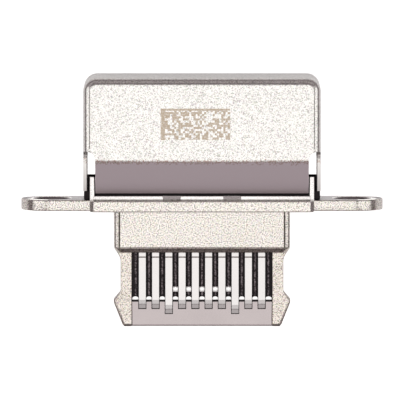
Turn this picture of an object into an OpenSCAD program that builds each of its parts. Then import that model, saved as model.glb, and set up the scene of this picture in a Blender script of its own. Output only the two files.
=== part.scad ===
// Tongue-type USB-C socket with a screw flange and a drawn rear can.
// It lies on its board side: +Z is the broad face, -Y is the way the tongue points, +X is to the right.
// The origin is midway between the two screw holes, on the flange's mating face, at the tongue's mid-plane.

/* [Flange] */
// Thickness of the flange plate, along the mating direction
flange_t = 0.42; // [0.3:0.02:0.8]
// Radius of each rounded ear
ear_r = 1.15; // [1.0:0.05:1.4]
// Distance between the two screw holes
hole_pitch = 11.34; // [11:0.02:13]
// Diameter of each screw hole
hole_d = 1.4; // [1.0:0.05:1.7]
// Width of the flange's taller middle, between its corner chamfers
mid_w = 8.14; // [7.8:0.02:8.4]
// Height of the flange's taller middle
mid_h = 3.5; // [3.2:0.05:4.0]
// Chamfer at the four corners of the flange's taller middle
mid_chamfer = 0.13; // [0.02:0.01:0.2]
// Thickness of the boss behind the flange
boss_t = 0.16; // [0.08:0.02:0.2]
// Height of the boss behind the flange
boss_h = 2.5; // [2.2:0.05:3.0]
// Width of each shallow notch in the boss
boss_notch_w = 0.67; // [0.3:0.01:1.0]
// Distance between the centres of the boss's two notches
boss_notch_pitch = 2.27; // [1.5:0.01:3.5]
// Depth of each notch in the boss
boss_notch_d = 0.08; // [0.02:0.01:0.15]
// Length of the locating posts behind the boss
post_l = 0.72; // [0.4:0.02:0.74]
// Thickness of each locating post
post_t = 0.15; // [0.1:0.01:0.18]
// Gap between each post and the can's side wall
post_gap = 0.12; // [0.06:0.01:0.16]
// Height of each locating post
post_h = 2.3; // [1.6:0.05:2.4]

/* [Tongue] */
// How far the collar stands out beyond the arms' roots, at each side
collar_step = 0.12; // [0.05:0.01:0.3]
// Height of the collar
collar_h = 1.36; // [1.2:0.02:1.5]
// Length of the collar, up to its front chamfer
collar_l = 1.36; // [1.0:0.02:1.5]
// Length of the collar's front chamfer
collar_chamfer_l = 0.26; // [0.1:0.02:0.4]
// How far the collar's nose stands above the tongue, where its chamfer ends
collar_lip_h = 0.15; // [0.02:0.01:0.2]
// Radius of the collar's four long edges
collar_edge_r = 0.2; // [0.05:0.01:0.3]
// Thickness of the tongue
tongue_t = 0.7; // [0.66:0.01:0.74]
// Length of the tongue, from mating face to tip
tongue_l = 4.42; // [4.3:0.02:4.7]
// Width of each side arm at its root
arm_root_t = 0.55; // [0.4:0.01:0.7]
// Width of each side arm at its waist
arm_waist_t = 0.42; // [0.3:0.01:0.5]
// Width of each side arm at its flared head
arm_head_t = 0.68; // [0.5:0.01:0.8]
// Width of each side arm at its tip
arm_tip_t = 0.35; // [0.2:0.01:0.5]
// Chamfer at the outer corner of each arm's tip
arm_corner = 0.07; // [0.02:0.01:0.12]
// Length of the blend from each arm's root to its waist
arm_root_l = 0.33; // [0.1:0.01:0.5]
// Length of the slope from each arm's waist to its flared head
arm_flare_l = 0.31; // [0.1:0.01:0.5]
// Distance from the tip to the front of the flared heads' flats
arm_head_l = 0.9; // [0.7:0.02:1.2]
// Length of the flat on each flared head
arm_crown_l = 0.12; // [0.04:0.01:0.2]
// Thickness of the ground plate between the two contact rows
plate_t = 0.15; // [0.1:0.01:0.2]
// Length of the ground plate's thick tip bar
tip_bar_l = 1.15; // [1.0:0.01:1.2]
// Length of the smooth band on the tip bar, in front of its groove
tip_band_l = 0.94; // [0.6:0.01:0.96]
// Thickness left at the very tip
tip_edge_t = 0.34; // [0.2:0.01:0.5]
// Width of the groove behind the smooth band
tip_groove_w = 0.05; // [0.02:0.01:0.08]
// Clearance between the ground plate and the arms
plate_fit = 0.04; // [0.02:0.01:0.08]

/* [Contacts] */
// Number of contacts in each row
contact_count = 10; // [4:2:10]
// Distance from one contact to the next
contact_pitch = 0.5; // [0.48:0.01:0.52]
// Width of each contact
contact_w = 0.265; // [0.2:0.005:0.3]
// Distance from the outer contacts to the side arms
row_margin = 0.2675; // [0.2:0.0025:0.4]
// Thickness of the contact strip
contact_t = 0.12; // [0.1:0.01:0.15]
// Length over which each contact rises out of the collar
contact_rise_l = 0.19; // [0.1:0.01:0.3]
// Distance from the tongue's tip to a signal contact's end
signal_end = 0.68; // [0.6:0.01:0.8]
// Distance from the tongue's tip to a power contact's end
power_end = 0.49; // [0.4:0.01:0.58]
// How far a contact's front end dips below its face
contact_dip = 0.1; // [0.02:0.01:0.12]
// Length of a contact's dipped end
contact_dip_l = 0.17; // [0.1:0.01:0.2]
// Length of the slope behind the dipped end
contact_slope_l = 0.16; // [0.08:0.01:0.2]
// How far the moulding lies below the contact faces
moulding_drop = 0.04; // [0.02:0.01:0.06]
// Moulding left around each contact's end
finger_wall = 0.045; // [0.02:0.005:0.06]
// Width of each small square pad between the contacts
pad_w = 0.17; // [0.1:0.01:0.2]
// Length of each small square pad
pad_l = 0.19; // [0.1:0.01:0.25]
// Distance from the tongue's tip to the middle of the pads
pad_from_tip = 1.415; // [1.3:0.005:1.6]
// Gap between the upper moulding's back and the drop of the upper row's tails
upper_tail_gap = 0.3; // [0.1:0.02:0.5]
// Gap between the lower moulding's back and the drop of the lower row's tails
lower_tail_gap = 0.28; // [0.1:0.02:0.4]
// Length of each solder foot
foot_l = 0.45; // [0.3:0.05:0.45]
// Height of the solder feet above the surface the socket lies on
foot_rise = 0.12; // [0.05:0.01:0.2]

/* [Moulding] */
// Thickness of the moulding above and below the ground plate, behind the flange
upper_block_h = 0.88; // [0.7:0.02:0.9]
// Thickness of the lower moulding behind the flange
lower_block_h = 1.2; // [0.8:0.02:1.25]
// Distance from the mating face to the back of the upper moulding
upper_block_y = 4.0; // [3.8:0.02:4.1]
// Distance from the mating face to the back of the lower moulding
lower_block_y = 2.8; // [2.4:0.02:2.9]
// Clearance between the mouldings and the posts
block_fit = 0.02; // [0.01:0.01:0.04]
// Length of each ground leg under the plate, front to back
leg_l = 0.6; // [0.3:0.05:0.7]
// Gap between the lower moulding's back and the ground legs
leg_gap = 0.15; // [0.05:0.01:0.3]

/* [Rear can] */
// Width over the can
can_w = 8.92; // [8.8:0.02:9.2]
// Gap between the inner shield and the inside of the can's broad face
can_head_gap = 0.295; // [0.2:0.005:0.5]
// Gap between the upper row's solder feet and the inside of the can's back
can_back_gap = 0.15; // [0.05:0.01:0.4]
// Thickness of the can's sheet
can_t = 0.13; // [0.08:0.01:0.15]
// Radius of the edge round the broad face
can_edge_r = 0.3; // [0.15:0.01:0.4]
// Radius of the two upright back corners
can_corner_r = 0.5; // [0.3:0.02:0.6]
// Gap between the flange boss and the can's side walls
can_side_gap = 0.175; // [0.05:0.005:0.4]
// Distance from the mating face to the bend of the front flap
flap_bend_y = 1.85; // [1.6:0.01:2.1]
// Gap between the flange boss and the flap's edge
flap_gap = 0.085; // [0.04:0.005:0.2]
// How far the flap's edge lies below the broad face
flap_drop = 0.35; // [0.1:0.01:0.4]
// Width of the notch at each side of the flap
notch_w = 0.46; // [0.42:0.01:0.8]
// How far the corner notches reach behind the flap's bend
notch_past_bend = 0.4; // [0.2:0.01:0.5]
// Radius of the corner notches' inner corners
notch_r = 0.3; // [0.1:0.01:0.3]
// Thickness of the inner shield's sheet
shield_t = 0.12; // [0.08:0.01:0.15]
// Gap between the posts and the inner shield's front edge
shield_front_gap = 0.085; // [0.04:0.005:0.3]
// Gap between the inner shield's back edge and the inside of the can's back
shield_back_gap = 0.3; // [0.1:0.02:0.6]
// Distance from the inner shield's front and back edges to its side walls
shield_wall_inset = 0.25; // [0.1:0.01:0.5]
// Clearance between the inner shield and the can
can_fit = 0.02; // [0.01:0.01:0.05]

/* [Hidden] */
$fn = 48;
EPS = 0.01; // how far a cut runs past the surface it starts from

rest_z = -mid_h / 2; // the surface that the flange and the can lie on
foot_z = rest_z + foot_rise;
boss_y = flange_t + boss_t;
post_y = boss_y + post_l;

arm_gap = (contact_count - 1) * contact_pitch + contact_w + 2 * row_margin;
plate_w = arm_gap - 2 * plate_fit;
collar_w = arm_gap + 2 * arm_root_t + 2 * collar_step;
collar_nose_h = tongue_t + 2 * collar_lip_h;
moulding_top = tongue_t / 2 - moulding_drop;

tip_y = -tongue_l;
collar_end_y = -collar_l;
nose_end_y = -collar_l - collar_chamfer_l;
bar_y = tip_y + tip_bar_l;
band_y = tip_y + tip_band_l;
pad_y = tip_y + pad_from_tip;

leg_y = lower_block_y + leg_gap;
lower_tail_y = lower_block_y + lower_tail_gap;
upper_tail_y = upper_block_y + upper_tail_gap;
can_back_y = upper_tail_y + foot_l + can_back_gap + can_t;
can_front_y = boss_y + can_side_gap;
flap_y = boss_y + flap_gap;
shield_front_y = post_y + shield_front_gap;
shield_back_y = can_back_y - can_t - shield_back_gap;

shield_z = plate_t / 2 + upper_block_h;
can_face_z = shield_z + shield_t + can_head_gap + can_t;
notch_floor_z = can_face_z - can_edge_r - can_t;

can_inner_w = can_w - 2 * can_t;
shield_w = can_inner_w - 2 * can_fit;
post_span = can_inner_w - 2 * post_gap;
block_w = post_span - 2 * post_t - 2 * block_fit;
flap_w = can_w - 2 * notch_w;

power_places = [3, contact_count - 2]; // the power contacts, counted from the left

// Contact n of the upper row is pin A(n + 1), because the frame's arms stand in for the outer grounds.
function upper_name(n) = str("contact_a", n + 1);
function lower_name(n) = str("contact_b", n + 1);
function contact_x(n) = (n - (contact_count + 1) / 2) * contact_pitch;
function is_power(n) = n == power_places[0] || n == power_places[1];
function contact_end_y(n) = tip_y + (is_power(n) ? power_end : signal_end);

// Extrudes an X-Z outline from y0 to y1.
module along_y(y0, y1) {
    translate([0, y1, 0]) rotate([90, 0, 0]) linear_extrude(height = y1 - y0) children();
}

// Extrudes a Y-Z outline across the width w, centred on x.
module along_x(x, w) {
    translate([x - w / 2, 0, 0]) rotate([90, 0, 90]) linear_extrude(height = w) children();
}

// Extrudes an X-Y outline from z0 to z1.
module along_z(z0, z1) {
    translate([0, 0, z0]) linear_extrude(height = z1 - z0) children();
}

// A box from its lowest to its highest corner.
module span(low, high) {
    translate(low) cube(high - low);
}

// A box centred on x, from y0 to y1 and from z0 to z1.
module slab(x, w, y0, y1, z0, z1) {
    span([x - w / 2, y0, z0], [x + w / 2, y1, z1]);
}

module both_sides() {
    children();
    mirror([1, 0, 0]) children();
}

module both_faces() {
    children();
    mirror([0, 0, 1]) children();
}

// A rectangle of w by h centred on the origin, with corners of radius r.
module round_rect(w, h, r) {
    union() {
        square([w - 2 * r, h], center = true);
        square([w, h - 2 * r], center = true);
        for (sx = [-1, 1], sz = [-1, 1]) translate([sx * (w / 2 - r), sz * (h / 2 - r)]) circle(r = r);
    }
}

// ---------- frame: flange, boss, posts, collar and side arms in one metal piece ----------

module flange_outline() {
    union() {
        square([hole_pitch, 2 * ear_r], center = true);
        for (s = [-1, 1]) translate([s * hole_pitch / 2, 0]) circle(r = ear_r);
        square([mid_w, mid_h], center = true);
        square([mid_w + 2 * mid_chamfer, mid_h - 2 * mid_chamfer], center = true);
        for (sx = [-1, 1], sz = [-1, 1]) polygon([
            [sx * mid_w / 2, sz * mid_h / 2],
            [sx * (mid_w / 2 + mid_chamfer), sz * (mid_h / 2 - mid_chamfer)],
            [sx * mid_w / 2, sz * (mid_h / 2 - mid_chamfer)],
        ]);
    }
}

module boss() {
    difference() {
        slab(0, mid_w, flange_t, boss_y, -boss_h / 2, boss_h / 2);
        both_faces() both_sides() slab(
            boss_notch_pitch / 2, boss_notch_w,
            flange_t, boss_y + EPS,
            boss_h / 2 - boss_notch_d, boss_h
        );
    }
}

module posts() {
    both_sides()
        slab(post_span / 2 - post_t / 2, post_t, flange_t, post_y, -post_h / 2, post_h / 2);
}

// The collar narrows towards its nose as a chamfer on its two broad faces and its two ends.
module collar() {
    intersection() {
        along_y(nose_end_y, 0) round_rect(collar_w, collar_h, collar_edge_r);
        along_x(0, collar_w) polygon([
            [0, -collar_h / 2],
            [collar_end_y, -collar_h / 2],
            [nose_end_y, -collar_nose_h / 2],
            [nose_end_y, collar_nose_h / 2],
            [collar_end_y, collar_h / 2],
            [0, collar_h / 2],
        ]);
        along_z(-collar_h / 2, collar_h / 2) polygon([
            [-collar_w / 2, 0],
            [-collar_w / 2, collar_end_y],
            [collar_step - collar_w / 2, nose_end_y],
            [collar_w / 2 - collar_step, nose_end_y],
            [collar_w / 2, collar_end_y],
            [collar_w / 2, 0],
        ]);
    }
}

// Each arm runs out of the collar, narrows in a curve to its waist, and flares to a head behind its tip.
module arm() {
    inner = arm_gap / 2;
    head_y = tip_y + arm_head_l;
    flare_y = head_y + arm_crown_l;
    narrowing = [for (s = [0:0.25:1])
        [inner + arm_waist_t + (arm_root_t - arm_waist_t) * pow(1 - s, 2), nose_end_y - arm_root_l * s]];
    along_z(-tongue_t / 2, tongue_t / 2) polygon(concat(
        [[inner, collar_end_y], [inner + arm_root_t, collar_end_y]],
        narrowing,
        [
            [inner + arm_waist_t, flare_y + arm_flare_l],
            [inner + arm_head_t, flare_y],
            [inner + arm_head_t, head_y],
            [inner + arm_tip_t, tip_y + arm_corner],
            [inner + arm_tip_t - arm_corner, tip_y],
            [inner, tip_y],
        ]
    ));
}

module frame() {
    color([0.86, 0.84, 0.81]) difference() {
        union() {
            along_y(0, flange_t) flange_outline();
            boss();
            posts();
            collar();
            both_sides() arm();
        }
        slab(0, arm_gap, nose_end_y - EPS, boss_y + EPS, -tongue_t / 2, tongue_t / 2);
        both_sides() translate([hole_pitch / 2, flange_t + EPS, 0]) rotate([90, 0, 0])
            cylinder(d = hole_d, h = flange_t + 2 * EPS);
    }
}

// ---------- ground plate: thin web between the contact rows, thick bar across the tip ----------

module tip_bar() {
    slope_y = tip_y + tip_edge_t / 2;
    difference() {
        along_x(0, plate_w) polygon([
            [bar_y, -tongue_t / 2 + moulding_drop],
            [band_y, -tongue_t / 2],
            [slope_y, -tongue_t / 2 + contact_dip],
            [tip_y, -tip_edge_t / 2],
            [tip_y, tip_edge_t / 2],
            [slope_y, tongue_t / 2 - contact_dip],
            [band_y, tongue_t / 2],
            [bar_y, tongue_t / 2 - moulding_drop],
        ]);
        both_faces() slab(
            0, plate_w + EPS,
            band_y, band_y + tip_groove_w,
            tongue_t / 2 - contact_dip, tongue_t
        );
        for (n = [1:contact_count])
            both_faces() contact_pocket(n, plate_t / 2);
    }
}

// The space in the tip bar for the end of contact n and the moulding round it, from height z up.
module contact_pocket(n, z) {
    slab(contact_x(n), contact_w + 2 * finger_wall, contact_end_y(n) - finger_wall, bar_y + EPS, z, tongue_t);
}

// Small square pads that rise from the plate between the middle contacts, through both mouldings.
module pads() {
    for (n = [3:contact_count - 3]) slab(
        contact_x(n) + contact_pitch / 2, pad_w,
        pad_y - pad_l / 2, pad_y + pad_l / 2,
        -moulding_top, moulding_top
    );
}

module ground_legs() {
    both_sides() slab(
        block_w / 2 - plate_t / 2, plate_t,
        leg_y, leg_y + leg_l,
        foot_z, plate_t / 2
    );
}

module ground_plate() {
    color([0.8, 0.77, 0.77]) union() {
        slab(0, plate_w, band_y, boss_y, -plate_t / 2, plate_t / 2);
        slab(0, block_w, boss_y, upper_block_y, -plate_t / 2, plate_t / 2);
        tip_bar();
        pads();
        ground_legs();
    }
}

// ---------- contacts ----------

// Side outline of a contact whose end lies at end_y and whose tail drops at tail_y. Its face is at the
// tongue's top where up is 1, and at its bottom where up is -1. Both tails drop to the solder feet.
module contact_side(end_y, tail_y, up) {
    top = up * tongue_t / 2;
    dip = up * contact_dip;
    sunk = up * moulding_drop;
    t = up * contact_t;
    heel = tail_y + contact_t;
    toe = tail_y + foot_l;
    inner_z = up > 0 ? top - sunk - t : top - sunk;
    face = [
        [end_y, top - dip],
        [end_y + contact_dip_l, top - dip],
        [end_y + contact_dip_l + contact_slope_l, top],
        [nose_end_y - contact_rise_l, top],
        [nose_end_y, top - sunk],
    ];
    back = [for (i = [len(face) - 1:-1:0]) face[i] - [0, t]];
    tail = up > 0
        ? [[heel, top - sunk], [heel, foot_z + contact_t], [toe, foot_z + contact_t], [toe, foot_z],
           [tail_y, foot_z], [tail_y, inner_z]]
        : [[tail_y, inner_z], [tail_y, foot_z], [toe, foot_z], [toe, foot_z + contact_t],
           [heel, foot_z + contact_t], [heel, top - sunk - t]];
    polygon(concat(face, tail, back));
}

module upper_contact(n) {
    color([0.9, 0.87, 0.84]) along_x(contact_x(n), contact_w)
        contact_side(contact_end_y(n), upper_tail_y, 1);
}

module lower_contact(n) {
    color([0.9, 0.87, 0.84]) along_x(contact_x(n), contact_w)
        contact_side(contact_end_y(n), lower_tail_y, -1);
}

// ---------- mouldings that carry the contacts ----------

// The tongue half of a moulding, drawn for the upper face.
module tongue_half() {
    slab(0, arm_gap, bar_y, nose_end_y, plate_t / 2, moulding_top);
    slab(0, arm_gap, nose_end_y, boss_y, plate_t / 2, tongue_t / 2);
    for (n = [1:contact_count]) slab(
        contact_x(n), contact_w + 2 * finger_wall,
        contact_end_y(n) - finger_wall, bar_y,
        plate_t / 2, tongue_t / 2 - contact_dip
    );
}

// The shoulders that fill the can's mouth round the posts, and close the gap in front of its side walls.
module shoulders(z0, z1) {
    difference() {
        union() {
            slab(0, shield_w, flange_t, shield_front_y - block_fit, z0, z1);
            slab(0, can_w - 2 * can_fit, flange_t, can_front_y - block_fit, z0, z1);
        }
        slab(0, mid_w + 2 * block_fit, flange_t - EPS, boss_y, z0 - EPS, z1 + EPS);
        both_sides() slab(
            post_span / 2 - post_t / 2, post_t + 2 * block_fit,
            flange_t - EPS, post_y + block_fit,
            -post_h / 2 - block_fit, post_h / 2 + block_fit
        );
    }
}

module upper_moulding() {
    color([0.16, 0.14, 0.14]) difference() {
        union() {
            tongue_half();
            slab(0, block_w, boss_y, upper_block_y, plate_t / 2, shield_z);
            shoulders(plate_t / 2, shield_z);
        }
        for (n = [1:contact_count]) upper_contact(n);
        pads();
    }
}

module lower_moulding() {
    color([0.16, 0.14, 0.14]) difference() {
        union() {
            mirror([0, 0, 1]) tongue_half();
            slab(0, block_w, boss_y, lower_block_y, -plate_t / 2 - lower_block_h, -plate_t / 2);
            shoulders(-plate_t / 2 - lower_block_h, -plate_t / 2);
        }
        for (n = [1:contact_count]) lower_contact(n);
        pads();
    }
}

// ---------- shields ----------

module inner_shield() {
    color([0.92, 0.92, 0.92]) union() {
        slab(0, shield_w, shield_front_y, shield_back_y, shield_z, shield_z + shield_t);
        both_sides() slab(
            shield_w / 2 - shield_t / 2, shield_t,
            shield_front_y + shield_wall_inset, shield_back_y - shield_wall_inset,
            foot_z, shield_z
        );
    }
}

// The can's outside, or its inside where inset is the sheet thickness: three outlines crossed.
module can_body(inset) {
    w = can_w - 2 * inset;
    front = can_front_y - inset;
    back = can_back_y - inset;
    base = rest_z - inset;
    top = can_face_z - inset;
    corner_r = can_corner_r - inset;
    edge_r = can_edge_r - inset;
    intersection() {
        along_z(base, top) union() {
            translate([-w / 2, front]) square([w, back - corner_r - front]);
            translate([-w / 2 + corner_r, front]) square([w - 2 * corner_r, back - front]);
            for (s = [-1, 1]) translate([s * (w / 2 - corner_r), back - corner_r]) circle(r = corner_r);
        }
        along_y(front, back) union() {
            translate([-w / 2, base]) square([w, top - edge_r - base]);
            translate([-w / 2 + edge_r, base]) square([w - 2 * edge_r, top - base]);
            for (s = [-1, 1]) translate([s * (w / 2 - edge_r), top - edge_r]) circle(r = edge_r);
        }
        along_x(0, w) union() {
            translate([front, base]) square([back - front, top - edge_r - base]);
            translate([front, base]) square([back - edge_r - front, top - base]);
            translate([back - edge_r, top - edge_r]) circle(r = edge_r);
        }
    }
}

module flap() {
    along_x(0, flap_w) polygon([
        [flap_bend_y, can_face_z],
        [flap_y, can_face_z - flap_drop],
        [flap_y, can_face_z - flap_drop - can_t],
        [flap_bend_y, can_face_z - can_t],
    ]);
}

// A rectangle from the origin's side at x0 to x1 and up to y1, with the corner at x0, y1 rounded.
module notch_outline(x0, x1, y0, y1) {
    union() {
        translate([x0, y0]) square([x1 - x0, y1 - notch_r - y0]);
        translate([x0 + notch_r, y0]) square([x1 - x0 - notch_r, y1 - y0]);
        translate([x0 + notch_r, y1 - notch_r]) circle(r = notch_r);
    }
}

// The cut in front of the flap's bend, with a notch at each corner that is rounded in plan and from the side.
module can_front_cut() {
    notch_y = flap_bend_y + notch_past_bend;
    top = can_face_z + EPS;
    front = can_front_y - EPS;
    slab(0, flap_w, front, flap_bend_y, notch_floor_z, top);
    both_sides() intersection() {
        along_z(notch_floor_z, top) notch_outline(flap_w / 2, can_w / 2 + EPS, front, notch_y);
        along_x(can_w / 2 - notch_w / 2, notch_w + 2 * EPS) mirror([0, 1]) rotate(-90)
            notch_outline(notch_floor_z, top, front, notch_y);
    }
}

module rear_can() {
    color([0.93, 0.91, 0.88]) union() {
        difference() {
            can_body(0);
            can_body(can_t);
            can_front_cut();
        }
        flap();
    }
}

frame();
ground_plate();
upper_moulding();
lower_moulding();
inner_shield();
rear_can();
for (n = [1:contact_count]) upper_contact(n);
for (n = [1:contact_count]) lower_contact(n);
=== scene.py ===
"""The looks of a tongue-type USB-C socket with a screw flange and a drawn rear can, over its CAD model.

Every shape is drawn in millimetres in the row frame and is written to its mesh in metres. +Z is the broad
face, -Y the way the tongue points and +X the right. In the names of sizes _w stands for a width along X, _l
for a length along Y, _h for a height along Z, _t for a thickness, _d for a depth and _r for a radius, and _x,
_y and _z for places.
"""

import logging
import math
from dataclasses import dataclass
from enum import Enum
from typing import Callable, Iterable, Sequence

import bmesh
import bpy
from mathutils import Matrix, Vector


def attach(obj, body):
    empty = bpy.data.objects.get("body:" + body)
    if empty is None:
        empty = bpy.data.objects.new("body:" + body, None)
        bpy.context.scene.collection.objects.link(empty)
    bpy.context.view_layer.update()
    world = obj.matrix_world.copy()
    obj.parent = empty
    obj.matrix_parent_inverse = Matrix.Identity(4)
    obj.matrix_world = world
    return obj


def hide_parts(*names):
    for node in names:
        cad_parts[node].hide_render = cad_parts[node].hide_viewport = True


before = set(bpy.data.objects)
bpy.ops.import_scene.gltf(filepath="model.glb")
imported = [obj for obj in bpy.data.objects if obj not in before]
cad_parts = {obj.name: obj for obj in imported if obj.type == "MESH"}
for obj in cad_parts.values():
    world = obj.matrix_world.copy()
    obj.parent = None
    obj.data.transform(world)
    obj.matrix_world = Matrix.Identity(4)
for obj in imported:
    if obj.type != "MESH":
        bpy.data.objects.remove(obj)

Outline = list[tuple[float, float]]
Color = tuple[float, float, float]
EdgeTest = Callable[[bmesh.types.BMEdge], bool]
Socket = bpy.types.NodeSocket

LOG = logging.getLogger("usb_c_socket")
MM = 0.001
QUARTER = 90  # a quarter turn, in degrees
MERGE_MM = 1e-5  # points that are closer than this are one
NOT_ZERO = 1e-5  # keeps a division defined
FLAT_ANGLE = math.radians(0.5)  # faces that turn by less than this are merged
EDGE_ANGLE = math.radians(25)  # edges that turn by more than this are rounded
SHARP_ANGLE = math.radians(35)  # edges that turn by more than this stay sharp in the shading
CHAMFER_ANGLE = math.radians(20)  # the same on a piece with narrow chamfers
FACET_ANGLE = math.radians(5)  # the same on a piece whose facets are each flat
CUT_PAST = 0.02  # how far a cutter reaches past the faces that it cuts, in millimetres
FLAT_WEIGHT = 100  # how much the large faces count for the shading at their corners


class Axis(Enum):
    """The direction an outline is extruded in. Its two numbers are the other two axes, in order."""

    X = 0
    Y = 1
    Z = 2

    def point(self, along: float, u: float, v: float) -> Vector:
        """Places a point of an outline.

        Args:
            along: Where the outline lies along this axis.
            u: The outline's first number.
            v: The outline's second number.

        Returns:
            The point in the row frame, in millimetres.
        """
        values = [u, v]
        values.insert(self.value, along)
        return Vector(values)


class Joining(Enum):
    """The ways in which two solids are combined."""

    UNION = "UNION"
    DIFFERENCE = "DIFFERENCE"


class Detail(Enum):
    """How many finer octaves a noise has."""

    NONE = 0.0
    ONE = 1.0
    TWO = 2.0


class Mixing(Enum):
    """The kinds of data that are mixed. Its numbers are the node's two inputs and its output."""

    VECTOR = (4, 5, 1)
    RGBA = (6, 7, 2)


class FrameArea(Enum):
    """The frame's areas. Its number is the place of the area's finish on the mesh."""

    OUTSIDE = 0
    BORE = 1
    BACK = 2
    ARM = 3


class Slot(Enum):
    """The record's material slots."""

    FRAME = "frame_metal"
    CAN = "can_metal"
    SHIELD = "shield_metal"
    PLATE = "plate_metal"
    CONTACT = "contact_metal"
    MOULDING = "moulding"


def arc(centre: tuple[float, float], radius: float, start: float, end: float, steps: int) -> Outline:
    """Points along an arc, both ends included.

    Args:
        centre: The arc's centre.
        radius: Its radius.
        start: The angle of its first point, in degrees.
        end: The angle of its last point, in degrees.
        steps: The number of chords.

    Returns:
        The points, from start to end.
    """
    angles = [math.radians(start + (end - start) * i / steps) for i in range(steps + 1)]
    return [(centre[0] + radius * math.cos(a), centre[1] + radius * math.sin(a)) for a in angles]


def rounded_rectangle(width: float, height: float, radius: float, steps: int) -> Outline:
    """A rectangle centred on the origin with rounded corners.

    Args:
        width: Its size along the outline's first axis.
        height: Its size along the second.
        radius: The corners' radius.
        steps: The number of chords in each corner.

    Returns:
        The outline, counter-clockwise.
    """
    u, v = width / 2 - radius, height / 2 - radius
    return [
        point
        for turns, centre in enumerate([(u, v), (-u, v), (-u, -v), (u, -v)])
        for point in arc(centre, radius, QUARTER * turns, QUARTER * (turns + 1), steps)
    ]


def mirrored(outline: Outline) -> Outline:
    """Completes an outline whose right half is given, from its lowest to its highest point."""
    return outline + [(-u, v) for u, v in reversed(outline)]


def in_plane(edge: bmesh.types.BMEdge, axis: Axis, at: float) -> bool:
    """Says whether an edge lies in the plane that is square to an axis at a place."""
    return all(abs(v.co[axis.value] - at) < MERGE_MM for v in edge.verts)


def linked(name: str, data: bpy.types.ID) -> bpy.types.Object:
    """Puts an object with this data into the scene.

    Args:
        name: The object's name.
        data: Its mesh or its camera's data.

    Returns:
        The object.
    """
    made = bpy.data.objects.new(name, data)
    bpy.context.scene.collection.objects.link(made)
    return made


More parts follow.
